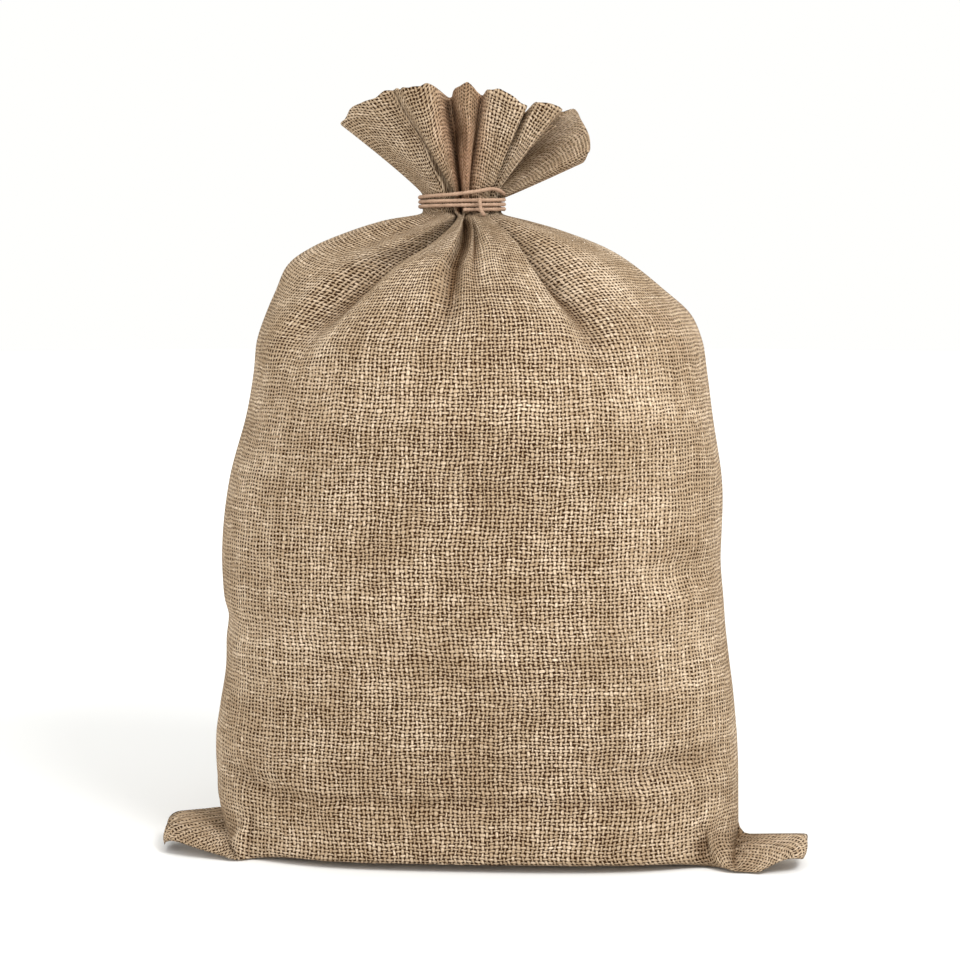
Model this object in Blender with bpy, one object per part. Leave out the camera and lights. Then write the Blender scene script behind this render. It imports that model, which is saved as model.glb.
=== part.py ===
"""Burlap sack: a filled sack of plain jute cloth, standing upright, its mouth gathered and tied with twine.

Metres, +Z up. The front faces -Y. The origin is on the surface that the sack stands on, under the middle
of its outline. The cloth is one tube, closed by a seam along its bottom edge. Filled, it has a flat
underside, two flattened corners that stand out beside it, pleated shoulders, a tied neck and a frill.
"""

from collections import namedtuple

import bmesh
import bpy
import numpy as np

MM = 0.001

# Driving dimensions
CLOTH_THICKNESS = 0.0016
TWINE_DIAMETER = 0.0025
GAP = 0.0004  # between one piece and the next

NECK_X = -0.0110  # the neck stands left of the middle
NECK_HALF_WIDTH = 0.0240
NECK_HALF_DEPTH = 0.0125
WAIST_LOW, WAIST_HIGH = 0.3885, 0.4025  # the twine lies between these heights
VALLEY_AT_NECK = 0.52  # how near the neck's middle a fold reaches, as a share of its radius
FRILL_BASE = 0.4060  # height at which the open cup of the frill starts

AROUND = 96  # points around a section
BODY_ROWS = 22
FRILL_ROWS = 8
CUP_ROWS = 6

CLOTH_COLOUR = (0.375, 0.262, 0.160, 1.0)
TWINE_COLOUR = (0.380, 0.235, 0.145, 1.0)

# The filled body, from the ground up. Millimetres from the Z axis; squareness 2 is an ellipse.
Section = namedtuple("Section", "height left right front back squareness")
SECTIONS = (
    Section(0, 138, 138, 62, 66, 2.6),
    Section(3, 150, 149, 79, 74, 2.7),
    Section(7, 157, 156, 89, 78, 2.7),
    Section(16, 161, 160, 89, 80, 2.7),
    Section(40, 163, 160, 86, 82, 2.6),
    Section(64, 164, 159, 85, 83, 2.5),
    Section(85, 161, 157, 88, 86, 2.45),
    Section(110, 157, 154, 91, 91, 2.4),
    Section(155, 158, 149, 94, 94, 2.35),
    Section(178, 159, 148, 94, 94, 2.3),
    Section(225, 154, 148, 96, 96, 2.3),
    Section(265, 144, 142, 102, 102, 2.25),
    Section(292, 139, 139, 99, 102, 2.2),
    Section(313, 136, 135, 92, 100, 2.2),
    Section(328, 131, 128, 86, 95, 2.1),
    Section(342, 125, 112, 78, 87, 2.1),
    Section(357, 118, 94, 68, 76, 2.1),
    Section(368, 103, 76, 57, 64, 2.0),
    Section(379, 76, 47, 43, 48, 2.0),
)

# Pleats run down the shoulders from the neck. `around` is the share of the way round the cloth, from the
# left side over the front (0.25), the right side (0.5) and the back (0.75).
Pleat = namedtuple("Pleat", "around spread width depth reach")
PLEATS = (
    Pleat(0.060, -0.010, 0.022, 6, 345),
    Pleat(0.175, -0.062, 0.024, 15, 290),
    Pleat(0.238, -0.012, 0.021, 13, 300),
    Pleat(0.264, 0.014, 0.018, 7, 322),
    Pleat(0.350, 0.050, 0.026, 13, 300),
    Pleat(0.455, 0.010, 0.022, 6, 345),
    Pleat(0.575, -0.006, 0.024, 9, 330),
    Pleat(0.655, -0.004, 0.024, 12, 300),
    Pleat(0.740, 0.000, 0.022, 10, 335),
    Pleat(0.823, 0.004, 0.024, 12, 300),
    Pleat(0.905, 0.006, 0.024, 9, 330),
)

# The frill's rim: its ridges and the valleys between them, in order around the cloth. Millimetres.
Flute = namedtuple("Flute", "around x y height ridge")
FLUTES = (
    Flute(0.020, -84, -2, 446, True),
    Flute(0.080, -62, -24, 458, True),
    Flute(0.125, -48, -22, 461, False),
    Flute(0.170, -33, -37, 463, True),
    Flute(0.220, -16, -8, 458, False),
    Flute(0.258, -5, -33, 465, True),
    Flute(0.292, 2, -16, 460, False),
    Flute(0.335, 17, -34, 460, True),
    Flute(0.382, 28, -12, 450, False),
    Flute(0.420, 39, -27, 454, True),
    Flute(0.452, 44, 0, 447, False),
    Flute(0.490, 66, -18, 433, True),
    Flute(0.540, 57, 14, 438, True),
    Flute(0.580, 38, 10, 444, False),
    Flute(0.620, 34, 36, 448, True),
    Flute(0.665, 14, 14, 450, False),
    Flute(0.710, 5, 42, 452, True),
    Flute(0.755, -10, 16, 452, False),
    Flute(0.800, -24, 43, 452, True),
    Flute(0.845, -34, 16, 450, False),
    Flute(0.890, -52, 37, 450, True),
    Flute(0.930, -56, 12, 446, False),
    Flute(0.970, -77, 17, 444, True),
)

# The flattened corners of the cloth, each from inside the body out to its curled tip. Millimetres; lean is
# the rise towards the back for each millimetre of depth.
Strip = namedtuple("Strip", "out height middle half_width lean thickness")
LEFT_CORNER = (
    Strip(112, 12, -32, 36, 0.19, 8),
    Strip(140, 12, -33, 35, 0.19, 7),
    Strip(156, 12, -34, 32, 0.20, 6),
    Strip(169, 13.5, -37, 25, 0.20, 5),
    Strip(181, 15, -40, 18, 0.18, 4.2),
    Strip(190, 15.5, -42, 13, 0.15, 3.8),
    Strip(196, 12.5, -43, 10, 0.12, 3.5),
    Strip(197, 7.5, -43, 7, 0.10, 3.2),
)
RIGHT_CORNER = (
    Strip(112, 9, -40, 36, 0.10, 8),
    Strip(144, 9, -42, 35, 0.10, 7),
    Strip(159, 9, -44, 32, 0.10, 6),
    Strip(171, 11, -48, 26, 0.12, 5),
    Strip(182, 13.5, -53, 19, 0.12, 4.2),
    Strip(190, 14.5, -56, 14, 0.12, 3.8),
    Strip(196, 11.5, -57, 10, 0.10, 3.5),
    Strip(197, 6.5, -57, 7, 0.10, 3.2),
)
CORNER_POINTS = 14

# The twine goes round the neck from the hitch: height of its centre along the way, in turns.
Wrap = namedtuple("Wrap", "turn height stand_off")
WRAPS = (
    Wrap(0.000, 390.4, 0.0),
    Wrap(0.500, 391.6, 0.0),
    Wrap(1.000, 393.2, 0.0),
    Wrap(1.500, 394.4, 0.0),
    Wrap(2.000, 396.0, 0.0),
    Wrap(2.500, 397.2, 0.0),
    Wrap(2.850, 398.6, 0.3),
    Wrap(2.980, 400.0, 0.9),
    Wrap(3.060, 401.8, 1.8),
    Wrap(3.110, 403.0, 2.4),
    Wrap(3.145, 402.2, 1.9),
    Wrap(3.190, 400.6, 0.8),
    Wrap(3.250, 400.0, 0.3),
    Wrap(3.350, 400.2, 0.3),
)
WRAP_START = 0.262  # share of the way round at which the hitch sits
TWINE_POINTS = 104

# The hitch: its twine passes over the turns and ends in a short free end. Millimetres.
HITCH = (
    (1.1, -16.3, 396.9),
    (1.2, -17.8, 395.9),
    (1.4, -18.6, 393.6),
    (1.7, -18.7, 391.2),
    (2.4, -19.6, 389.4),
    (3.4, -21.6, 388.0),
    (4.3, -23.8, 387.3),
)
HITCH_POINTS = 14


def smooth(xs, ys, at):
    """A smooth curve through the rows of a table, read at one or more places."""
    xs, ys, at = (np.asarray(values, float) for values in (xs, ys, at))
    slopes = np.gradient(ys, xs)
    i = np.clip(np.searchsorted(xs, at, side="right") - 1, 0, len(xs) - 2)
    step = xs[i + 1] - xs[i]
    t = (at - xs[i]) / step
    return (
        (1 + 2 * t) * (1 - t) ** 2 * ys[i]
        + t * (1 - t) ** 2 * step * slopes[i]
        + t**2 * (3 - 2 * t) * ys[i + 1]
        + t**2 * (t - 1) * step * slopes[i + 1]
    )


def smooth_loop(xs, ys, at):
    """The same for a table whose last row leads on to its first, over a range of 1."""
    xs = np.asarray(xs, float)
    xs = np.concatenate([xs[-3:] - 1, xs, xs[:3] + 1])
    ys = np.concatenate([ys[-3:], ys, ys[:3]])
    return smooth(xs, ys, np.mod(at, 1.0))


def ease(t):
    t = np.clip(t, 0.0, 1.0)
    return t * t * (3 - 2 * t)


def outline(left, right, front, back, squareness, around):
    """Points of a closed section, spaced evenly along each half as cloth would be."""
    angle = np.linspace(0, np.pi, 721)
    across, deep = -np.cos(angle), np.sin(angle) ** (2 / squareness)
    across = np.sign(across) * np.abs(across) ** (2 / squareness)
    points = np.empty((len(around), 2))
    for side, depth, start in ((1, -front, 0.0), (-1, back, 0.5)):
        x = np.where(side * across < 0, side * across * left, side * across * right)
        y = deep * depth
        run = np.concatenate([[0], np.cumsum(np.hypot(np.diff(x), np.diff(y)))])
        half = (around >= start) & (around < start + 0.5)
        share = (around[half] - start) * 2 * run[-1]
        points[half] = np.stack([np.interp(share, run, x), np.interp(share, run, y)], axis=1)
    return points


def pleat_depth(around, height):
    """How far the pleats draw the cloth in at a height, in metres."""
    depth = np.zeros(len(around))
    top = SECTIONS[-1].height
    for pleat in PLEATS:
        down = np.clip((top - height) / (top - pleat.reach), 0, 1)
        centre = pleat.around + pleat.spread * down
        width = pleat.width * (1 + 0.5 * down)
        offset = np.mod(around - centre + 0.5, 1) - 0.5
        depth += pleat.depth * MM * (1 - ease(down)) * np.exp(-((offset / width) ** 2) * 1.6)
    return depth


def neck_share(around):
    """1 on the ridges of the gathered neck, VALLEY_AT_NECK in its valleys."""
    shares = [1.0 if flute.ridge else VALLEY_AT_NECK for flute in FLUTES]
    return np.clip(smooth_loop([flute.around for flute in FLUTES], shares, around), 0.4, 1.0)


def neck_ring(around):
    ring = outline(NECK_HALF_WIDTH, NECK_HALF_WIDTH, NECK_HALF_DEPTH, NECK_HALF_DEPTH, 2.0, around)
    return ring * neck_share(around)[:, None] + [NECK_X, 0]


def body_row(around, height):
    """One section of the body, at a height in millimetres."""
    heights = [section.height for section in SECTIONS]
    sizes = [
        smooth(heights, [getattr(section, side) for section in SECTIONS], height)
        for side in ("left", "right", "front", "back", "squareness")
    ]
    ring = outline(*sizes, around) * MM
    length = np.linalg.norm(ring, axis=1)[:, None]
    ring *= 1 - pleat_depth(around, height)[:, None] / length
    return np.column_stack([ring, np.full(len(around), height * MM)])


def outer_rows(around):
    """Sections from the ground to the rim: the body, the neck's waist, then the frill."""
    top = SECTIONS[-1].height
    steps = np.linspace(0, 1, BODY_ROWS)
    # The rows lie closer together at the rounded foot and near the neck.
    heights = top * (steps - 0.085 * np.sin(2 * np.pi * steps))
    rows = [body_row(around, height) for height in heights]
    neck = neck_ring(around)
    for height in (WAIST_LOW, WAIST_HIGH):
        rows.append(np.column_stack([neck, np.full(len(around), height)]))
    places = [flute.around for flute in FLUTES]
    rim = np.column_stack(
        [
            smooth_loop(places, [getattr(flute, axis) for flute in FLUTES], around) * MM
            for axis in ("x", "y", "height")
        ]
    )
    for step in range(1, FRILL_ROWS + 1):
        t = step / FRILL_ROWS
        flare = t**0.9
        xy = neck + (rim[:, :2] - neck) * flare
        rows.append(np.column_stack([xy, WAIST_HIGH + (rim[:, 2] - WAIST_HIGH) * t]))
    return rows


def cup_rows(rows):
    """The inner side of the frill, one cloth thickness in, from the rim down to the top of the neck."""
    grid = np.stack(rows[-FRILL_ROWS - 1 :])
    along = np.gradient(grid, axis=0)
    around = np.roll(grid, -1, axis=1) - np.roll(grid, 1, axis=1)
    normals = np.cross(around, along)
    normals /= np.linalg.norm(normals, axis=2, keepdims=True)
    inner = grid - normals * CLOTH_THICKNESS
    return [row for row in inner[::-1][:CUP_ROWS] if row[:, 2].min() > FRILL_BASE]


def loft(name, rows, collection):
    """A closed mesh from rings of points, with a cap at each end."""
    mesh = bpy.data.meshes.new(name)
    shape = bmesh.new()
    rings = [[shape.verts.new(point) for point in row] for row in rows]
    for lower, upper in zip(rings, rings[1:]):
        for i in range(len(lower)):
            j = (i + 1) % len(lower)
            shape.faces.new((lower[i], lower[j], upper[j], upper[i]))
    shape.faces.new(rings[0][::-1])
    shape.faces.new(rings[-1])
    bmesh.ops.recalc_face_normals(shape, faces=shape.faces)
    shape.to_mesh(mesh)
    shape.free()
    mesh.shade_smooth()
    mesh.set_sharp_from_angle(angle=np.radians(60))
    obj = bpy.data.objects.new(name, mesh)
    collection.objects.link(obj)
    return obj


def corner(name, side, strips, collection):
    """A flattened corner of the sack: a thin lens swept outwards, its tip curled down."""
    angles = np.linspace(0, 2 * np.pi, CORNER_POINTS, endpoint=False)
    rows = []
    for k, strip in enumerate(strips):
        before, after = strips[max(k - 1, 0)], strips[min(k + 1, len(strips) - 1)]
        path = np.array([after.out - before.out, after.height - before.height])
        normal = np.array([-path[1], path[0]]) / np.hypot(*path)
        deep = np.cos(angles) * strip.half_width
        thick = np.sin(angles) * strip.thickness / 2
        out = strip.out + normal[0] * thick
        up = strip.height + normal[1] * thick + strip.lean * deep
        rows.append(np.column_stack([side * out, strip.middle + deep, up]) * MM)
    return loft(name, rows, collection)


def tube(name, points, count, diameter, collection):
    """A round cord on a smooth curve through the route's own points."""
    points = np.asarray(points)
    run = np.concatenate([[0], np.cumsum(np.linalg.norm(np.diff(points, axis=0), axis=1))])
    at = np.linspace(0, run[-1], count)
    route = np.column_stack([smooth(run, points[:, axis], at) for axis in range(3)])
    curve = bpy.data.curves.new(name, "CURVE")
    curve.dimensions = "3D"
    curve.bevel_depth = diameter / 2
    curve.bevel_resolution = 2
    curve.use_fill_caps = True
    spline = curve.splines.new("POLY")
    spline.points.add(count - 1)
    for point, place in zip(spline.points, route):
        point.co = (*place, 1.0)
    obj = bpy.data.objects.new(name, curve)
    collection.objects.link(obj)
    return obj


def material(name, colour, roughness):
    finish = bpy.data.materials.new(name)
    finish.use_nodes = True
    shader = finish.node_tree.nodes["Principled BSDF"]
    shader.inputs["Base Color"].default_value = colour
    shader.inputs["Roughness"].default_value = roughness
    return finish


def union(target, other):
    joined = target.modifiers.new(other.name, "BOOLEAN")
    joined.operation = "UNION"
    joined.object = other
    other.hide_render = True
    other.display_type = "WIRE"


def build_sack(pieces, cutters):
    around = np.arange(AROUND) / AROUND
    rows = outer_rows(around)
    sack = loft("sack", rows + cup_rows(rows), pieces)
    union(sack, corner("left_corner", -1, LEFT_CORNER, cutters))
    union(sack, corner("right_corner", 1, RIGHT_CORNER, cutters))
    sack.data.materials.append(material("jute_cloth", CLOTH_COLOUR, 0.95))


def build_tie(pieces):
    turns = np.linspace(WRAPS[0].turn, WRAPS[-1].turn, 4 * TWINE_POINTS)
    height = smooth([wrap.turn for wrap in WRAPS], [wrap.height for wrap in WRAPS], turns) * MM
    stand_off = smooth([wrap.turn for wrap in WRAPS], [wrap.stand_off for wrap in WRAPS], turns) * MM
    clear = TWINE_DIAMETER / 2 + GAP + stand_off
    angle = 2 * np.pi * (WRAP_START + turns)
    x = NECK_X - (NECK_HALF_WIDTH + clear) * np.cos(angle)
    y = -(NECK_HALF_DEPTH + clear) * np.sin(angle)
    twine = tube("tie_twine", np.column_stack([x, y, height]), TWINE_POINTS, TWINE_DIAMETER, pieces)
    hitch = tube("tie_hitch", np.array(HITCH) * MM, HITCH_POINTS, TWINE_DIAMETER, pieces)
    jute = material("jute_twine", TWINE_COLOUR, 0.9)
    for piece in (twine, hitch):
        piece.data.materials.append(jute)


def main():
    for obj in list(bpy.data.objects):
        bpy.data.objects.remove(obj, do_unlink=True)
    pieces = bpy.data.collections.new("burlap_sack")
    cutters = bpy.data.collections.new("joined_corners")
    for collection in (pieces, cutters):
        bpy.context.scene.collection.children.link(collection)
    build_sack(pieces, cutters)
    build_tie(pieces)


main()
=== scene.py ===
"""Looks of the burlap sack: jute cloth settled by a small cloth solver, twisted twine, floor and light.

Metres, +Z up, the front faces -Y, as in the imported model. Tables are in millimetres where they say so.
"""

import math
from collections import namedtuple

import bpy
import numpy as np
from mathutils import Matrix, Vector
from numpy.linalg import norm


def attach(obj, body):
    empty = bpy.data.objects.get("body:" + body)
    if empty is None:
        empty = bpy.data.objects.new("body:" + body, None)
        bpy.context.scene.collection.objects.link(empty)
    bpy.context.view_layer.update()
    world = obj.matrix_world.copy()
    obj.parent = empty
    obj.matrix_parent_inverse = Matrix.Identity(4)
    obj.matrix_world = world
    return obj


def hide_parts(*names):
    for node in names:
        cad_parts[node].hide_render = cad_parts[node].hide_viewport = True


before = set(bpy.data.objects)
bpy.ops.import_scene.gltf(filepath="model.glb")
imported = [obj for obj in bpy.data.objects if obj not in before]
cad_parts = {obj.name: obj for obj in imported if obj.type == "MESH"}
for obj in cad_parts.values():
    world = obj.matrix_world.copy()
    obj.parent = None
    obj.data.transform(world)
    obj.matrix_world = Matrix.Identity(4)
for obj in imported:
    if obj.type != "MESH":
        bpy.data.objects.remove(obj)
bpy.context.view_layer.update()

MM = 0.001

# The flat sack, as it was cut and sewn
FLAT_WIDTH = 0.400
FLAT_LENGTH = 0.575
CLOTH_AROUND = 2 * FLAT_WIDTH
TIE_AT = 0.500  # length of cloth from the bottom seam up to the tie
WAIST_BELOW, WAIST_ABOVE = 0.008, 0.009  # the twine holds this much cloth on each side of the tie
CLOTH_THICKNESS = 0.0012
FLOOR_CLEARANCE = 0.0006

# The neck and the twine round it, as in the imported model
NECK_X = -0.0110
NECK_HEIGHT = 0.394
NECK_HALF_WIDTH = 0.0240
NECK_HALF_DEPTH = 0.0125
TWINE_DIAMETER = 0.0025
GAP = 0.0004

# The weave: yarns around the sack come in an even number, so that the pattern closes on itself
WARP_YARNS = 300
WARP_PITCH = CLOTH_AROUND / WARP_YARNS
WEFT_PITCH = 0.00233

# Camera: a little to the right of the sack and above it
CAMERA_TARGET = (0.0, 0.0, 0.225)
CAMERA_DISTANCE = 1.5
CAMERA_AZIMUTH = 4.3
CAMERA_ELEVATION = 6.0
CAMERA_LENS = 91.3

Lamp = namedtuple("Lamp", "name place target size power")
LAMPS = (
    Lamp("key", (1.0, -1.1, 1.5), (0, 0, 0.25), 0.8, 25),
    Lamp("fill", (-1.2, -1.4, 0.9), (0, 0, 0.2), 1.2, 6),
)
WALL_COLOUR = (1.0, 1.0, 0.985, 1.0)
FLOOR_COLOUR = (0.93, 0.93, 0.92, 1)
FLOOR_ROUGHNESS = 0.9
FLOOR_RADIUS, FLOOR_SIDES = 6, 96
FLOOR_GLOW = (0.5, 1.5, 0.0, 0.25)  # from this distance to this one, in metres, between these strengths


def smooth(xs, ys, at):
    """A smooth curve through the rows of a table, read at one or more places."""
    xs, ys, at = (np.asarray(values, float) for values in (xs, ys, at))
    slopes = np.gradient(ys, xs)
    i = np.clip(np.searchsorted(xs, at, side="right") - 1, 0, len(xs) - 2)
    step = xs[i + 1] - xs[i]
    t = (at - xs[i]) / step
    return (
        (1 + 2 * t) * (1 - t) ** 2 * ys[i]
        + t * (1 - t) ** 2 * step * slopes[i]
        + t**2 * (3 - 2 * t) * ys[i + 1]
        + t**2 * (t - 1) * step * slopes[i + 1]
    )


def smooth_loop(xs, ys, at, gain=0.0):
    """The same for a table whose last row leads on to its first, over a range of 1. `gain` is how much
    the value has grown after one time round."""
    xs, ys = np.asarray(xs, float), np.asarray(ys, float)
    xs = np.concatenate([xs[-3:] - 1, xs, xs[:3] + 1])
    ys = np.concatenate([ys[-3:] - gain, ys, ys[:3] + gain])
    return smooth(xs, ys, np.mod(at, 1.0)) + gain * np.floor(at)


def ease(t):
    t = np.clip(t, 0.0, 1.0)
    return t * t * (3 - 2 * t)


def table(columns, *rows):
    """Rows with named columns."""
    row_type = namedtuple("Row", columns)
    return [row_type(*row) for row in rows]


def column(rows, name):
    return np.array([getattr(row, name) for row in rows], float)


def run_along(points):
    """The distance along a line of points, up to each."""
    return np.concatenate([[0], np.cumsum(norm(np.diff(points, axis=0), axis=1))])


def grid_size(grid):
    """Rows of cells and points around."""
    return grid.shape[0] - 1, grid.shape[1]


def unit(vectors):
    return vectors / np.maximum(norm(vectors, axis=-1, keepdims=True), 1e-12)


def add_object(name, data):
    obj = bpy.data.objects.new(name, data)
    bpy.context.scene.collection.objects.link(obj)
    return obj


# ---- materials

# Noises: how fast each changes along its two coordinates, and how many finer layers it has and how rough
Grain = namedtuple("Grain", "first second detail roughness")
SLUBS = Grain(150.0, 7.31, 2.0, 0.50)  # along a yarn, and from yarn to yarn
SHADES = Grain(110.0, 3.7, 1.0, 0.50)
FIBRES = Grain(450.0, 3200.0, 3.0, 0.60)  # along a yarn and across it
SWAY = Grain(60.0, 45.0, 4.0, 0.62)  # around the cloth and up it
RISE = Grain(45.0, 60.0, 4.0, 0.62)
PATCHES = Grain(22.0, 22.0, 3.0, 0.50)
TWINE_FIBRES = Grain(260.0, 22.0, 4.0, 0.65)  # along the twine and round it
TWINE_PATCHES = Grain(60.0, 1.0, 2.0, 0.50)

# A yarn's half width as a share of the pitch: the least, what the yarn adds and what its slubs add
YARN_WIDTH, YARN_OWN_WIDTH, SLUB_WIDTH = 0.070, 0.06, 0.42
WANDER = 0.0058  # width of the band in which a yarn leaves its straight line
YARN_WAVE, YARN_CROWN = 0.30, 0.60  # height of its wave over and under the others, and of its round top
YARN_TONE, SHADE_TONE, FIBRE_TONE, PATCH_TONE = 0.07, 0.30, 0.60, 0.30
TONE_RANGE = (0.35, 0.90)  # the tones that get the darkest and the lightest colour
YARN_DARK = (0.250, 0.158, 0.085, 1)
YARN_MIDDLE = (0.440, 0.320, 0.205, 1)
YARN_LIGHT = (0.960, 0.780, 0.590, 1)
YARN_SIDE_SHADE = (0.0, 0.90, 0.30, 1.0)  # painted shade on each yarn's sides: from this roundness to this one, and the brightness there
# Painted shade down between the yarns and in the gaps: its colour, the height where it is full and where it
# ends
GAP_SHADE_COLOUR = (0.032, 0.012, 0.003, 1)
GAP_FLOOR = (-0.55, 0.20)  # height below which the painted shade is full, on cloth that faces sideways and to the front
GAP_RIM = 0.76  # height where it ends
FACING_RANGE = (0.60, 0.99)
FRAYED_COVER, FRAYED_LEVEL = 0.55, 0.72  # how far loose fibres fill the gaps, and to what lightness
RUBBED_PATCHES = (0.35, 0.62, 0.35, 1.0)
RUBBED_TINT = (1.0, 0.80, 0.72, 1)
# Painted shade in folds, creases and at the tie: its colour and its strength
FOLD_SHADE_COLOUR = (0.30, 0.22, 0.15, 1)
FOLD_SHADE_STRENGTH = 0.88
BUMP_TONE, BUMP_FLOOR = 0.20, -0.40  # the share of the tone in the bump, and the bump's lowest height

TWINE_FIBRE_TONE, TWINE_PATCH_TONE = 0.7, 0.3
TWINE_DARK = (0.150, 0.080, 0.047, 1)
TWINE_LIGHT = (0.700, 0.485, 0.345, 1)

Finish = namedtuple("Finish", "bump bump_height roughness")
CLOTH_FINISH = Finish(0.70, MM, 0.92)
TWINE_FINISH = Finish(0.6, 0.5 * MM, 0.9)
SHEEN = 0.05


class Nodes:
    """Short names for making and wiring shader nodes."""

    def __init__(self, name):
        self.material = bpy.data.materials.new(name)
        self.material.use_nodes = True
        self.tree = self.material.node_tree
        self.shader = self.tree.nodes["Principled BSDF"]

    def add(self, kind, **settings):
        node = self.tree.nodes.new(kind)
        for key, value in settings.items():
            setattr(node, key, value)
        return node

    def wire(self, value, socket):
        if isinstance(value, bpy.types.NodeSocket):
            self.tree.links.new(value, socket)
        else:
            socket.default_value = value

    def wire_all(self, values, sockets):
        for value, socket in zip(values, sockets):
            self.wire(value, socket)

    def fill(self, node, values):
        self.wire_all(values.values(), (node.inputs[name] for name in values))

    def math(self, operation, *values):
        node = self.add("ShaderNodeMath", operation=operation)
        self.wire_all(values, node.inputs)
        return node.outputs[0]

    def times(self, a, b):
        return self.math("MULTIPLY", a, b)

    def minus(self, a, b):
        return self.math("SUBTRACT", a, b)

    def total(self, *terms, base=0.0):
        """The base and each value times its weight, added up."""
        for value, weight in reversed(terms):
            base = self.math("MULTIPLY_ADD", value, weight, base)
        return base

    def vector(self, x, y, z=0.0):
        node = self.add("ShaderNodeCombineXYZ")
        self.wire_all((x, y, z), node.inputs)
        return node.outputs[0]

    def noise(self, grain, x, y, seed=0.0):
        """Noise from 0 to 1, centred on 0.5."""
        place = self.vector(self.times(x, grain.first), self.times(y, grain.second), seed)
        node = self.add("ShaderNodeTexNoise")
        self.fill(
            node, {"Vector": place, "Scale": 1.0, "Detail": grain.detail, "Roughness": grain.roughness}
        )
        return node.outputs["Fac"]

    def random(self, vector):
        """A number from 0 to 1 for each whole-number place."""
        node = self.add("ShaderNodeTexWhiteNoise", noise_dimensions="3D")
        self.wire(vector, node.inputs["Vector"])
        return node.outputs["Value"]

    def remap(self, value, low, high, to_low=0.0, to_high=1.0, interpolation="LINEAR"):
        node = self.add("ShaderNodeMapRange", clamp=True, interpolation_type=interpolation)
        self.wire_all((value, low, high, to_low, to_high), node.inputs)
        return node.outputs[0]

    def mix(self, factor, a, b):
        """Between two numbers."""
        node = self.add("ShaderNodeMix", data_type="FLOAT")
        self.wire_all((factor, a, b), (node.inputs[0], node.inputs[2], node.inputs[3]))
        return node.outputs[0]

    def mix_colour(self, factor, a, b, blend="MIX"):
        node = self.add("ShaderNodeMix", data_type="RGBA", blend_type=blend)
        self.wire_all((factor, a, b), (node.inputs[0], node.inputs[6], node.inputs[7]))
        return node.outputs[2]

    def grey(self, value):
        """A grey of this brightness, as a colour."""
        return self.mix_colour(value, (0.0, 0.0, 0.0, 1), (1.0, 1.0, 1.0, 1))

    def ramp(self, value, *stops):
        """A colour between stops, which are places in order with their colours."""
        node = self.add("ShaderNodeValToRGB")
        self.wire(value, node.inputs[0])
        marks = node.color_ramp.elements
        for place, colour in stops[1:-1]:
            marks.new(place).color = colour
        for mark, (place, colour) in ((marks[0], stops[0]), (marks[len(marks) - 1], stops[-1])):
            mark.position = place
            mark.color = colour
        return node.outputs[0]

    def attribute(self, name):
        return self.add("ShaderNodeAttribute", attribute_name=name).outputs["Fac"]

    def flat_place(self, layer):
        """The two flat coordinates that the mesh holds in this layer."""
        flat = self.add("ShaderNodeUVMap", uv_map=layer).outputs[0]
        split = self.add("ShaderNodeSeparateXYZ")
        self.wire(flat, split.inputs[0])
        return split.outputs[0], split.outputs[1]

    def finished(self, colour, height, finish):
        """The material, with this colour and with bump from this height."""
        bump = self.add("ShaderNodeBump")
        self.fill(bump, {"Strength": finish.bump, "Distance": finish.bump_height, "Height": height})
        self.fill(self.shader, {"Base Color": colour, "Normal": bump.outputs[0]})
        self.fill(self.shader, {"Roughness": finish.roughness, "Specular IOR Level": SHEEN})
        return self.material


def yarn_set(n, along, across, pitch, other_pitch, wave_sign, seed):
    """One set of parallel yarns: its height, its roundness (1 on a crown and 0 at a side) and its tone."""
    lane = n.math("DIVIDE", across, pitch)
    index = n.math("FLOOR", lane)
    offset = n.minus(n.math("FRACT", lane), 0.5)
    own = n.random(n.vector(index, seed))
    # Slubs: each yarn swells and thins along its length.
    slub = n.noise(SLUBS, along, index, seed)
    half = n.total((slub, SLUB_WIDTH), (own, YARN_OWN_WIDTH), base=YARN_WIDTH)
    share = n.math("DIVIDE", offset, half)
    roundness = n.math("SQRT", n.math("MAXIMUM", n.minus(1.0, n.times(share, share)), 0.0))
    inside = n.math("LESS_THAN", n.math("ABSOLUTE", share), 1.0)
    # A yarn goes over where its neighbours go under.
    side = n.minus(1.0, n.times(2.0, n.math("MODULO", n.math("ABSOLUTE", index), 2.0)))
    phase = n.math("SINE", n.times(along, math.pi / other_pitch))
    over = n.times(n.times(phase, side), wave_sign)
    height = n.mix(inside, -1.0, n.total((over, YARN_WAVE), (roundness, YARN_CROWN)))
    fibre = n.noise(FIBRES, along, across, seed)
    shade = n.noise(SHADES, along, index, seed)
    tone = n.total((own, YARN_TONE), (shade, SHADE_TONE), (fibre, FIBRE_TONE))
    return height, roundness, tone


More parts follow.
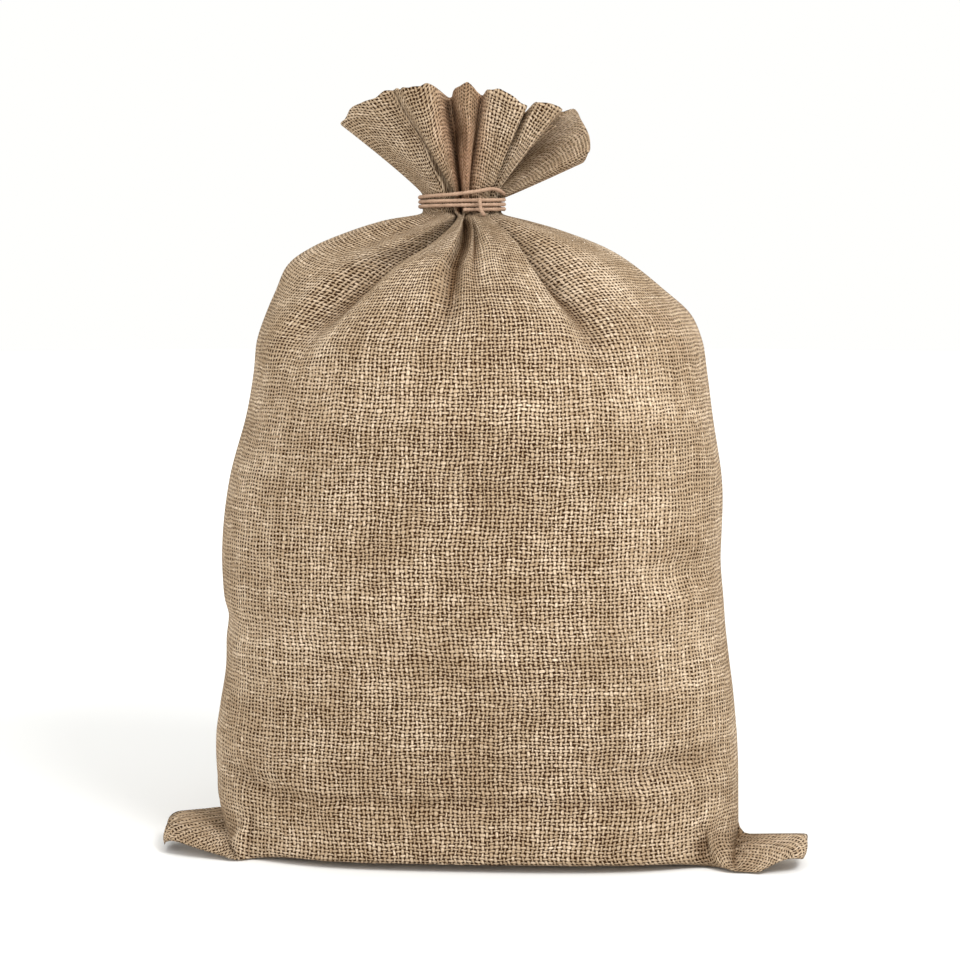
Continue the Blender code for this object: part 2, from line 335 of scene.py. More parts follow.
def jute_cloth():
    """Plain weave of uneven jute yarns, from the cloth's own flat coordinates in metres, with painted shade
    down between the yarns, on their sides, in folds and at the tie.
    """
    n = Nodes("jute_cloth")
    around, up = n.flat_place("cloth")
    sway = n.noise(SWAY, around, up, seed=3.0)
    rise = n.noise(RISE, around, up, seed=9.0)
    across_warp = n.total((n.minus(sway, 0.5), WANDER), base=around)
    across_weft = n.total((n.minus(rise, 0.5), WANDER), base=up)
    warp, warp_round, warp_tone = yarn_set(n, across_weft, across_warp, WARP_PITCH, WEFT_PITCH, 1.0, 1.5)
    weft, weft_round, weft_tone = yarn_set(n, across_warp, across_weft, WEFT_PITCH, WARP_PITCH, -1.0, 8.5)
    warp_on_top = n.math("GREATER_THAN", warp, weft)
    top = n.math("MAXIMUM", warp, weft)
    roundness = n.mix(warp_on_top, weft_round, warp_round)
    yarn_tone = n.mix(warp_on_top, weft_tone, warp_tone)
    facing, frayed, painted_fold_shade = (n.attribute(name) for name in ("facing", "frayed", "painted_fold_shade"))

    patch = n.noise(PATCHES, around, up)
    tone = n.remap(n.total((patch, PATCH_TONE), base=yarn_tone), *TONE_RANGE)
    yarn = n.ramp(tone, (0.0, YARN_DARK), (0.5, YARN_MIDDLE), (1.0, YARN_LIGHT))
    # Painted shade: each yarn darker towards its sides.
    yarn = n.mix_colour(1.0, yarn, n.grey(n.remap(roundness, *YARN_SIDE_SHADE)), "MULTIPLY")

    # Painted shade: the weave darkens down between the yarns and in the gaps, more where the cloth faces the
    # front, and loose fibres hide some of it.
    gap_floor = n.mix(n.remap(facing, *FACING_RANGE), *GAP_FLOOR)
    lightness = n.remap(top, gap_floor, GAP_RIM, interpolation="SMOOTHSTEP")
    lightness = n.mix(n.times(frayed, FRAYED_COVER), lightness, FRAYED_LEVEL)
    colour = n.mix_colour(lightness, GAP_SHADE_COLOUR, yarn)
    rubbed = n.times(frayed, n.remap(patch, *RUBBED_PATCHES))
    colour = n.mix_colour(rubbed, colour, RUBBED_TINT, "MULTIPLY")
    # Painted shade in folds, creases and at the tie.
    colour = n.mix_colour(n.times(painted_fold_shade, FOLD_SHADE_STRENGTH), colour, FOLD_SHADE_COLOUR, "MULTIPLY")

    lift = n.total((yarn_tone, BUMP_TONE), base=n.math("MAXIMUM", top, BUMP_FLOOR))
    return n.finished(colour, lift, CLOTH_FINISH)


def jute_twine():
    """Fibres that follow the twist of the twine."""
    n = Nodes("jute_twine")
    along, turn = n.flat_place("twine")
    fibre = n.noise(TWINE_FIBRES, along, turn)
    patch = n.noise(TWINE_PATCHES, along, turn, seed=4.0)
    tone = n.total((fibre, TWINE_FIBRE_TONE), (patch, TWINE_PATCH_TONE))
    colour = n.ramp(tone, (0.25, TWINE_DARK), (0.75, TWINE_LIGHT))
    return n.finished(colour, fibre, TWINE_FINISH)


# ---- camera, light and floor


def make_camera():
    azimuth, elevation = math.radians(CAMERA_AZIMUTH), math.radians(CAMERA_ELEVATION)
    level = math.cos(elevation)
    back = Vector((math.sin(azimuth) * level, -math.cos(azimuth) * level, math.sin(elevation)))
    data = bpy.data.cameras.new("camera")
    data.lens = CAMERA_LENS
    camera = add_object("camera", data)
    camera.location = Vector(CAMERA_TARGET) + back * CAMERA_DISTANCE
    camera.rotation_euler = (-back).to_track_quat("-Z", "Y").to_euler()
    bpy.context.scene.camera = camera


def make_lamp(lamp):
    data = bpy.data.lights.new(lamp.name, "AREA")
    data.shape = "DISK"
    data.size = lamp.size
    data.energy = lamp.power
    light = add_object(lamp.name, data)
    light.location = lamp.place
    light.rotation_euler = (Vector(lamp.target) - Vector(lamp.place)).to_track_quat("-Z", "Y").to_euler()


def floor_paint():
    """Far off, the floor glows a little, so that it meets the white wall with no edge."""
    n = Nodes("floor_paint")
    distance = n.add("ShaderNodeVectorMath", operation="LENGTH")
    n.wire(n.add("ShaderNodeTexCoord").outputs["Object"], distance.inputs[0])
    glow = n.remap(distance.outputs["Value"], *FLOOR_GLOW)
    n.fill(n.shader, {"Base Color": FLOOR_COLOUR, "Roughness": FLOOR_ROUGHNESS, "Emission Strength": glow})
    return n.material


def make_studio():
    """A white room: soft light from all round, a lamp high at the right and a weaker one at the left."""
    scene = bpy.context.scene
    scene.view_settings.view_transform = "Standard"
    world = bpy.data.worlds.new("studio")
    scene.world = world
    world.use_nodes = True
    background = world.node_tree.nodes["Background"]
    background.inputs["Color"].default_value = WALL_COLOUR
    for lamp in LAMPS:
        make_lamp(lamp)

    bpy.ops.mesh.primitive_circle_add(vertices=FLOOR_SIDES, radius=FLOOR_RADIUS, fill_type="NGON")
    floor = bpy.context.object
    floor.name = "floor"
    floor.data.materials.append(floor_paint())


# ---- twine

# Height of the twine's centre along its way round the neck, in turns from the hitch. Millimetres.
WRAPS = table(
    "turn height stand_off",
    (0, 390.4, 0),
    (0.5, 391.6, 0),
    (1, 393.2, 0),
    (1.5, 394.4, 0),
    (2, 396, 0),
    (2.5, 397.2, 0),
    (2.85, 398.6, 0.3),
    (2.98, 400, 0.9),
    (3.06, 401.8, 1.8),
    (3.11, 403, 2.4),
    (3.145, 402.2, 1.9),
    (3.19, 400.6, 0.8),
    (3.25, 400, 0.3),
    (3.35, 400.2, 0.3),
)
WRAP_START = 0.262  # where they start, in turns from the left side over the front
WRAP_POINTS = 300

# The short end, from where it leaves the turns down to its tip. Millimetres.
HITCH = (
    (1.1, -16.3, 396.9),
    (1.2, -17.8, 395.9),
    (1.4, -18.6, 393.6),
    (1.7, -18.7, 391.2),
    (2.4, -19.6, 389.4),
    (3.4, -21.6, 388.0),
    (4.3, -23.8, 387.3),
)

TWINE_STEP = 0.0005
TWINE_SIDES = 14
PLIES = 3
PLY_PITCH = 0.0065  # length of twine in which a ply goes once round
PLY_GROOVE = 0.22  # depth of the grooves between plies, as a share of the radius, and their sharpness
PLY_SHARPNESS = 0.7
UNEVEN = 0.05  # how much the twine's thickness varies, as a share, and how fast
UNEVEN_ALONG, UNEVEN_ROUND = 700, 1900


def even_route(points):
    """The route as evenly spaced points on a smooth curve, and its length."""
    points = np.asarray(points)
    run = run_along(points)
    at = np.linspace(0, run[-1], int(run[-1] / TWINE_STEP) + 1)
    return np.column_stack([smooth(run, points[:, axis], at) for axis in range(3)]), run[-1]


def wrap_route():
    """The turns round the neck, from the end under the hitch."""
    turns = np.linspace(WRAPS[0].turn, WRAPS[-1].turn, WRAP_POINTS)
    height = smooth(column(WRAPS, "turn"), column(WRAPS, "height"), turns) * MM
    stand_off = smooth(column(WRAPS, "turn"), column(WRAPS, "stand_off"), turns) * MM
    clear = TWINE_DIAMETER / 2 + GAP + stand_off
    angle = 2 * np.pi * (WRAP_START + turns)
    x = NECK_X - (NECK_HALF_WIDTH + clear) * np.cos(angle)
    y = -(NECK_HALF_DEPTH + clear) * np.sin(angle)
    return np.column_stack([x, y, height])


def twisted(name, route, finish):
    """A laid twine: a tube whose section has a lobe for each ply, turning along its length."""
    count = len(route)
    tangent = unit(np.gradient(route, axis=0))
    side = unit(np.cross(tangent, [0.0, 0.0, 1.0]) + 1e-6)
    normal = np.cross(side, tangent)
    run = run_along(route)
    theta = np.linspace(0, 2 * np.pi, TWINE_SIDES, endpoint=False)
    turn = theta[None, :] - 2 * np.pi * run[:, None] / PLY_PITCH
    wobble = 1 + UNEVEN * np.sin(run * UNEVEN_ALONG)[:, None]
    wobble = wobble + UNEVEN * np.sin(run[:, None] * UNEVEN_ROUND + PLIES * theta)
    groove = (0.5 - 0.5 * np.cos(PLIES * turn)) ** PLY_SHARPNESS
    radius = TWINE_DIAMETER / 2 * (1 - PLY_GROOVE * groove) * wobble
    ring = np.cos(theta)[None, :, None] * side[:, None] + np.sin(theta)[None, :, None] * normal[:, None]
    points = route[:, None] + ring * radius[..., None]
    ids = np.arange(count * TWINE_SIDES).reshape(count, TWINE_SIDES)
    nxt = np.roll(ids, -1, axis=1)
    faces = np.stack([ids[:-1], nxt[:-1], nxt[1:], ids[1:]], axis=-1).reshape(-1, 4).tolist()
    faces += [ids[0, ::-1].tolist(), ids[-1].tolist()]
    mesh = bpy.data.meshes.new(name)
    mesh.from_pydata(points.reshape(-1, 3).tolist(), [], faces)
    layer = mesh.uv_layers.new(name="twine")
    uv = np.stack([np.repeat(run, TWINE_SIDES), (turn / (2 * np.pi)).ravel()], axis=1)
    corner = np.array([loop.vertex_index for loop in mesh.loops])
    layer.data.foreach_set("uv", uv[corner].astype(np.float32).ravel())
    mesh.shade_smooth()
    mesh.materials.append(finish)
    return add_object(name, mesh)


def make_tie():
    finish = jute_twine()
    route, length = even_route(wrap_route())
    twine = twisted("twine", route, finish)
    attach(twine, "root")
    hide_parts("tie_twine")
    hitch_route, _ = even_route(np.array(HITCH) * MM)
    hitch = twisted("twine_end", hitch_route, finish)
    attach(hitch, "root")
    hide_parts("tie_hitch")


# ---- cloth

# The start shape's sections, by length of cloth up from the bottom seam. Millimetres. `forward` moves the
# section towards the front.
START = table(
    "cloth height left right front back squareness forward",
    (0, 2, 150, 150, 20, 20, 3, 20),
    (80, 40, 163, 160, 84, 82, 2.6, 0),
    (104, 64, 164, 159, 85, 83, 2.5, 0),
    (125, 85, 161, 157, 88, 86, 2.45, 0),
    (150, 110, 157, 154, 91, 91, 2.4, 0),
    (195, 155, 158, 149, 94, 94, 2.35, 0),
    (218, 178, 159, 148, 94, 94, 2.3, 0),
    (265, 225, 154, 148, 96, 96, 2.3, 0),
    (306, 265, 143.5, 142, 102, 102, 2.25, 0),
    (334, 292, 138.5, 138.5, 98.5, 102, 2.2, 0),
    (356, 313, 136, 135, 92, 100, 2.2, 0),
    (372, 328, 131, 128, 86, 95, 2.1, 0),
    (388, 342, 125, 112.5, 78, 87, 2.1, 0),
    (407, 357, 118, 94, 67.5, 76, 2.1, 0),
    (428, 368, 103, 76, 57, 64, 2, 0),
    (452, 379, 76, 47, 43, 48, 2, 0),
    (476, 386, 52, 23, 28, 30, 2, 0),
    (492, 390, 37, 15, 14, 14, 2, 0),
    (500, 394, 35, 13, 12.5, 12.5, 2, 0),
)

# How the mouth is gathered, from the left side over the front. `cloth` is the share of the way round the
# cloth, `ring` the place round the neck that it is drawn to, and `shoulder` the place that it makes for on
# its way there. `inward` is 1 on a ridge of the neck and less in a valley. `fold` is how deep a pleat of
# the body is beside the others, and `reach` how far below the tie it runs, in millimetres. x, y and height
# place the rim, in millimetres; under 1, `flare` bends the frill outwards low down, and over 1 higher up.
GATHER = table(
    "cloth shoulder ring inward fold reach x y height flare",
    (0, 0.01, 0.01, 1, 0, 80, -85, 4, 443, 1.1),
    (0.018, 0.095, 0.05, 1, 0, 80, -79, -8, 451, 1.1),
    (0.042, 0.18, 0.1, 1, 0.45, 95, -66, -20, 455, 1.1),
    (0.068, 0.232, 0.15, 1, 0, 150, -53, -27, 461, 1.05),
    (0.107, 0.262, 0.205, 0.45, 1, 170, -47, -30, 461, 0.85),
    (0.13, 0.265, 0.213, 0.9, 0.5, 150, -43, -36, 462, 0.85),
    (0.155, 0.268, 0.222, 1, 0.05, 120, -33, -38, 463, 0.9),
    (0.178, 0.271, 0.232, 1, 0, 100, -24, -31, 463, 0.9),
    (0.195, 0.273, 0.24, 0.25, 0.05, 70, -18, -8, 458, 1),
    (0.212, 0.277, 0.262, 0.8, 0, 75, -13, -24, 462, 1),
    (0.227, 0.292, 0.287, 1, 0.85, 155, -6, -32, 465, 1.1),
    (0.243, 0.297, 0.3, 0.9, 0.05, 130, 0, -26, 461, 1.1),
    (0.262, 0.301, 0.312, 0.5, 0.6, 125, 3, -19, 459, 1),
    (0.282, 0.311, 0.335, 0.9, 0.05, 80, 8, -32, 461, 1),
    (0.305, 0.324, 0.368, 1, 0, 100, 17, -34, 460, 0.95),
    (0.332, 0.344, 0.405, 1, 0, 150, 29, -28, 452, 0.9),
    (0.357, 0.352, 0.42, 0.35, 1, 170, 28, -10, 449, 0.95),
    (0.377, 0.375, 0.43, 0.9, 0.4, 150, 34, -24, 453.5, 1),
    (0.395, 0.405, 0.438, 1, 0, 100, 39, -27, 453.5, 1),
    (0.405, 0.425, 0.447, 1, 0, 80, 46, -24, 451, 1.05),
    (0.414, 0.44, 0.455, 1, 0, 80, 51, -18, 450, 1.05),
    (0.422, 0.448, 0.459, 0.6, 0.1, 90, 49, 4, 450, 1),
    (0.431, 0.455, 0.463, 0.35, 0.1, 90, 47, 22, 450, 1),
    (0.44, 0.462, 0.468, 0.3, 0, 80, 53, 27, 452, 1),
    (0.45, 0.47, 0.474, 0.45, 0, 80, 58, 16, 450, 1),
    (0.461, 0.476, 0.48, 0.8, 0, 80, 62, 0, 443, 0.95),
    (0.47, 0.482, 0.485, 0.9, 0, 80, 66, -14, 434, 0.95),
    (0.48, 0.487, 0.49, 0.95, 0, 80, 67, -28, 426, 0.95),
    (0.491, 0.494, 0.497, 1, 0, 80, 64, -20, 419, 0.95),
    (0.51, 0.51, 0.51, 0.9, 0, 80, 58, 2, 428, 0.95),
    (0.54, 0.545, 0.545, 1, 0, 80, 54, 22, 440, 0.95),
    (0.575, 0.585, 0.585, 0.25, 0.8, 120, 38, 8, 444, 1),
    (0.615, 0.62, 0.62, 1, 0, 100, 34, 36, 448, 1),
    (0.655, 0.66, 0.66, 0.25, 1, 160, 14, 12, 450, 1),
    (0.697, 0.7, 0.7, 1, 0, 100, 8, 42, 452, 1),
    (0.74, 0.74, 0.74, 0.25, 0.7, 100, -8, 14, 452, 1),
    (0.783, 0.78, 0.78, 1, 0, 100, -18, 44, 452, 1),
    (0.823, 0.82, 0.82, 0.25, 1, 160, -32, 14, 450, 1),
    (0.863, 0.86, 0.86, 1, 0, 100, -46, 40, 450, 1),
    (0.905, 0.905, 0.905, 0.25, 0.8, 120, -56, 12, 446, 1),
    (0.955, 0.955, 0.955, 1, 0, 80, -74, 28, 444, 1.05),
)

# How far out the filling reaches, by height. Millimetres from the Z axis.
FILLING = table(
    "height left right front back squareness",
    (0, 148, 158, 84, 72, 3.2),
    (8, 154, 160, 86, 78, 3),
    (22, 160, 162, 86, 82, 2.8),
    (40, 165, 162, 86, 84, 2.6),
    (64, 166, 161, 87, 85, 2.5),
    (85, 163, 159, 90, 88, 2.45),
    (110, 159, 156, 93, 93, 2.4),
    (155, 160, 151, 96, 96, 2.35),
    (178, 161, 150, 96, 96, 2.3),
    (225, 156, 150, 98, 98, 2.3),
    (265, 146, 144, 104, 104, 2.25),
    (292, 141, 141, 101, 104, 2.2),
    (313, 138, 137, 94, 102, 2.2),
    (328, 133, 130, 88, 97, 2.1),
    (342, 127, 115, 80, 89, 2.1),
    (357, 120, 96, 70, 78, 2.1),
    (368, 105, 78, 60, 66, 2),
    (379, 78, 49, 46, 50, 2),
    (388, 53, 24, 30, 32, 2),
    (392, 44, 16, 18, 18, 2),
)

# Creases and soft bulges: the share of the way round the cloth and the length of cloth up to each, how far
# it stands out, its reach sideways and upwards, and how it slopes down on its way round. Millimetres.
DENTS = table(
    "cloth height out wide tall slope",
    (0.425, 218, -3.2, 42, 10, 0.05),
    (0.435, 194, 2.6, 34, 12, 0.05),
    (0.375, 224, 1.6, 26, 14, 0),
    (0.41, 104, -2.8, 34, 9, -0.1),
    (0.4, 84, 1.6, 36, 9, -0.1),
    (0.455, 148, 1.8, 22, 12, 0.3),
    (0.44, 262, -2.2, 24, 16, 0.6),
    (0.035, 180, -3.2, 26, 9, 0.1),
    (0.085, 160, 1.8, 30, 14, 0.2),
    (0.095, 86, -2.8, 36, 7, 0.27),
    (0.06, 300, -1.6, 30, 20, 0.3),
    (0.112, 405, -5, 30, 42, 0),
    (0.15, 388, 2.6, 28, 36, 0),
    (0.242, 415, -4, 15, 42, 0),
    (0.345, 402, -5, 30, 42, 0),
    (0.3, 385, 2.4, 28, 36, 0),
    (0.06, 545, -3, 18, 14, 0.4),
    (0.15, 538, 2.6, 14, 12, -0.3),
    (0.214, 548, -3, 9, 12, 0.6),
    (0.236, 532, 2.8, 9, 9, -0.6),
    (0.226, 563, 2, 8, 7, 0.3),
    (0.31, 545, -2.6, 15, 12, 0.3),
    (0.385, 540, 2.2, 12, 12, -0.3),
    (0.62, 210, -2.5, 50, 12, 0.2),
    (0.84, 150, -2.5, 50, 12, -0.2),
)

# The bottom corners: flaps of doubled cloth with a blunt end that hangs down. `seam` and `side` are the
# lengths of cloth from the corner to the two roots, and `curl` is the length that bends down at the end; the
# points are the flap laid straight. Millimetres.
EARS = table(
    "hand seam side curl seam_root seam_tip side_tip side_root",
    (-1, 58, 58, 17, (-142, -70, 1), (-188, -55, 11), (-202, -30, 16), (-160, 2, 17)),
    (1, 42, 58, 17, (169, -76, 1), (195, -69, 12), (211, -46, 16), (164, -12, 9)),
)
EAR_CORNERS = (0.0, 0.37, 0.50, 0.63, 1.0)  # where the roots, tips and corner come along the edge
EAR_ROUND = 0.005  # how far the blunt end swells
EAR_TUCK = 0.010  # how far the middle of a root lies under the body
EAR_PUFF = 0.0022  # half the thickness of the doubled cloth, with the slack in it
EAR_CURL_RADIUS = 0.008
EAR_EDGE = 0.012  # length of cloth over which a flap thins out to its edge
EAR_HOLD = 0.35  # how firmly a flap and the seam are drawn to their place
EAR_HOLD_RISE, EAR_HOLD_LEAST = 5, 0.3  # how that grows away from the flap's root, as a share
SEAM_SAG = 0.040  # how far back the seam lies under the base, between the flaps
SAG_ROUND = 0.8  # under 1, the seam's bend is fuller than half a wave

NECK_SQUARENESS = 2.0
NECK_BLEND = 0.022  # length of cloth over which the shoulders go over into the neck
DEEPEST_VALLEY = 0.2  # how near the neck's middle a valley comes, as a share of the way out
DEEPEST_FOLD = 0.75  # as a share of the way to the middle of the sack
FOLD_TRIALS = 20
OUTLINE_POINTS = 721
RAGGED = ((17, 0.45), (29, 0.40), (47, 0.35))  # waves round the rim, and their height in millimetres
RAGGED_OUT = 0.8  # how far they go in and out, beside their height
FOOT = 0.080  # length of cloth that turns under at the foot, at most
FOOT_TURN = 0.007  # how far before and after its corner the turn at the floor starts
FOOT_TURN_POINTS = 17
FOOT_FRONT = 1.11  # the foot's reach to the front and to the back, beside the section above it
FOOT_BACK = 0.92
FOOT_LIFT = 0.0070  # how far the front edge of the base stands off the floor, half way along it
FOOT_LIFT_ROUND = 0.6  # under 1, that edge's bend is fuller than half a wave
GATHER_FROM = 0.350  # length of cloth at which the gathering starts to draw it in

# The solver
COARSE = (80, 60, 200)  # points around, rows up, steps
FINE_STEPS = 120  # on a grid twice as fine
STEP_DAMPING = 0.96
PUSH_OUT = 3e-5  # how far the filling moves the cloth in one step, and how far its weight does
WEIGHT = 0.6e-5
PUSH_GROWTH = 0.8  # how much harder it pushes at the floor than at its top
FILLING_TOP = 0.397
RESTING = 0.0002  # cloth this near the floor slides half as far
PASSES = 6
# The share of a thread's error that one pass takes away: of any thread, of one up the cloth that is too
# short, across the weave, and over two cells, which resists bending
THREAD, SHORT_THREAD, BIAS, BEND = 0.9, 0.8, 0.05, 0.1

# By length of cloth up from the bottom seam. Pushed together, the cloth resists where it is smooth and gives
# way where it is gathered.
CRUSH = ((0, 0.9), (0.44, 0.9), (0.48, 0.5), (TIE_AT, 0.2), (0.53, 0.4), (FLAT_LENGTH, 0.7))
FILLED = ((0, 1), (0.30, 1), (0.36, 0.25), (0.40, 0.05), (TIE_AT, 0))
# The filling keeps the body in its start shape, and the stiffness of the bunched cloth the frill.
HOLD = (
    (0, 0.15), (0.08, 0.15), (0.11, 0.06), (0.32, 0.06), (0.36, 0.04), (TIE_AT - 0.02, 0.04),
    (TIE_AT, 0.1), (TIE_AT + 0.003, 0.4), (TIE_AT + 0.04, 0.15), (FLAT_LENGTH, 0.05),
)
CONTAINED = ((0, 0), (0.03, 0), (0.05, 1), (0.475, 1), (0.497, 0.6), (0.498, 0), (FLAT_LENGTH, 0))

# Values on the mesh's points. The frill is rubbed and hairy at this share of the way round and this far to
# each side, which is more at the tie and less at the rim.
FRAYED_AT = 0.224
FRAYED_REACH = 0.056
FRAYED_TAPER = (1.4, 0.5)
FRAYED_RISE = (3, 0.9)  # how fast it sets in on the way up, and how far it has at the tie
# Painted shade in folds and creases, and at the tie, from how deep the cloth lies below its neighbours
HOLLOW_GAIN = 3.0
HOLLOW_WIDTH = 0.002  # the least width that the depth of a fold is set beside
HOLLOW_REACHES = (160, 80, 45, 30, 20)  # how far to each side it is measured: the way round, over these
HOLLOW_FADE = (0.55, 0.35, 0.8)  # from this share of the frill's height, over this one, by this one
FOOT_CREASES = (60, 5)  # the rows, divided by these, are those with level creases
TIE_SHADE, TIE_SHADE_REACH = 0.15, 0.2  # painted shade added at the tie, and how far from it it reaches, as a share of the frill
LEAST_LEVEL = 0.2  # so that cloth that faces up or down counts as facing sideways


def outline(left, right, front, back, squareness, around):
    """Points of a closed section, spaced evenly along each half as cloth would be."""
    angle = np.linspace(0, np.pi, OUTLINE_POINTS)
    across, deep = -np.cos(angle), np.sin(angle) ** (2 / squareness)
    across = np.sign(across) * np.abs(across) ** (2 / squareness)
    points = np.empty((len(around), 2))
    around = np.mod(around, 1.0)
    for side, depth, start in ((1, -front, 0.0), (-1, back, 0.5)):
        x = np.where(side * across < 0, side * across * left, side * across * right)
        y = deep * depth
        run = np.concatenate([[0], np.cumsum(np.hypot(np.diff(x), np.diff(y)))])
        half = (around >= start) & (around < start + 0.5)
        share = (around[half] - start) * 2 * run[-1]
        points[half] = np.column_stack([np.interp(share, run, x), np.interp(share, run, y)])
    return points


def folded(section, depth):
    """The section with its pleats pushed in just far enough to take up the length of the cloth."""
    low, high = 0.0, DEEPEST_FOLD
    for _ in range(FOLD_TRIALS):
        middle = (low + high) / 2
        trial = section * (1 - middle * depth)
        if norm(trial - np.roll(trial, 1, axis=0), axis=1).sum() < CLOTH_AROUND:
            low = middle
        else:
            high = middle
    return section * (1 - low * depth)


def start_shape(count, rows):
    """The cloth before it settles: a grid of rows up the sack and points around it."""
    around = np.arange(count) / count
    places = column(GATHER, "cloth")
    ring = smooth_loop(places, column(GATHER, "ring"), around, 1.0)
    shoulder = smooth_loop(places, column(GATHER, "shoulder"), around, 1.0)
    inward = np.clip(smooth_loop(places, column(GATHER, "inward"), around), DEEPEST_VALLEY, 1.0)
    rim = [smooth_loop(places, column(GATHER, axis), around) for axis in ("x", "y", "height")]
    rim = np.column_stack(rim) * MM
    ragged = sum(size * np.sin(2 * np.pi * (waves * around + size)) for waves, size in RAGGED)
    rim[:, 2] += ragged * MM
    rim[:, :2] += ragged[:, None] * RAGGED_OUT * MM * unit(rim[:, :2])
    flare = smooth_loop(places, column(GATHER, "flare"), around)
    neck = outline(
        NECK_HALF_WIDTH, NECK_HALF_WIDTH, NECK_HALF_DEPTH, NECK_HALF_DEPTH, NECK_SQUARENESS, ring
    )
    neck = neck * inward[:, None] + [NECK_X, 0]
    points = np.zeros((rows + 1, count, 3))
    for j, cloth in enumerate(np.linspace(0, FLAT_LENGTH, rows + 1)):
        if cloth > TIE_AT:
            t = (cloth - TIE_AT) / (FLAT_LENGTH - TIE_AT)
            out = max(cloth - TIE_AT - WAIST_ABOVE, 0) / (FLAT_LENGTH - TIE_AT - WAIST_ABOVE)
            points[j, :, :2] = neck + (rim[:, :2] - neck) * (out**flare)[:, None]
            points[j, :, 2] = NECK_HEIGHT + (rim[:, 2] - NECK_HEIGHT) * t
            continue
        size = {
            name: smooth(column(START, "cloth"), column(START, name), cloth / MM)
            for name in START[0]._fields[1:]
        }
        gathered = ease((cloth - GATHER_FROM) / (TIE_AT - GATHER_FROM))
        section = outline(
            size["left"], size["right"], size["front"], size["back"], size["squareness"],
            around + (shoulder - around) * gathered,
        ) * MM
        centre = np.array([(size["right"] - size["left"]) / 2 * MM, 0])
        left_over = np.clip(1 - (TIE_AT - cloth) / (column(GATHER, "reach") * MM), 0, 1)
        depth = np.clip(smooth_loop(places, column(GATHER, "fold") * ease(left_over), around), 0, 1)[:, None]
        section = folded(section - centre, depth) + centre
        section -= [0, size["forward"] * MM]
        to_neck = ease((cloth - TIE_AT + WAIST_BELOW + NECK_BLEND) / NECK_BLEND)
        points[j, :, :2] = section * (1 - to_neck) + neck * to_neck
        points[j, :, 2] = size["height"] * MM
    return with_foot(dented(points))


def dented(points):
    """The cloth with its creases and bulges, which go straight in or out from the Z axis."""
    rows, count = grid_size(points)
    cloth = np.linspace(0, FLAT_LENGTH / MM, rows + 1)[:, None]
    for dent in DENTS:
        aside = ((np.arange(count) / count - dent.cloth + 0.5) % 1 - 0.5) * CLOTH_AROUND / MM
        above = cloth - dent.height + dent.slope * aside
        push = dent.out * MM * np.exp(-((aside / dent.wide) ** 2) - (above / dent.tall) ** 2)
        points[..., :2] += push[..., None] * unit(points[..., :2])
    return points


def rounded_turn(start, corner, end, share):
    """Places along a path that goes by way of a corner and rounds it off."""
    before, after = start - corner, end - corner
    back, on = (min(FOOT_TURN / max(norm(line), 1e-9), 0.5) for line in (before, after))
    t = np.linspace(0, 1, FOOT_TURN_POINTS)[:, None]
    turn = corner + before * back * (1 - t) ** 2 + after * on * t**2
    path = np.concatenate([start[None], turn, end[None]])
    run = run_along(path)
    return np.column_stack([np.interp(share * run[-1], run, path[:, axis]) for axis in range(3)])


def with_foot(points):
    """The lowest rows taken down to the floor and under the base, to the seam and the flaps."""
    rows, count = grid_size(points)
    place, _, root, root_up = ear_guide(count, rows)
    up = np.linspace(0, FLAT_LENGTH, rows + 1)
    top = round(FOOT / FLAT_LENGTH * rows)
    left, right = EARS
    aside = np.minimum(np.arange(count), count - np.arange(count)) / count * CLOTH_AROUND / MM
    along = np.clip((aside - left.seam) / (FLAT_WIDTH / MM - left.seam - right.seam), 0, 1)
    for i in range(count):
        high = points[top, i]
        if i < count / 2:
            deep = min(high[1] * FOOT_FRONT, root[i, 1])
            lift = FOOT_LIFT * math.sin(math.pi * along[i]) ** FOOT_LIFT_ROUND
        else:
            deep = max(high[1] * FOOT_BACK, root[i, 1])
            lift = 0.0
        corner = np.array([high[0], deep, root[i, 2] + lift])
        flap = up < root_up[i]
        turning = ~flap & (up <= up[top])
        share = (up[turning] - root_up[i]) / (up[top] - root_up[i])
        points[turning, i] = rounded_turn(root[i], corner, high, share)
        points[flap, i] = place[flap, i]
    return points


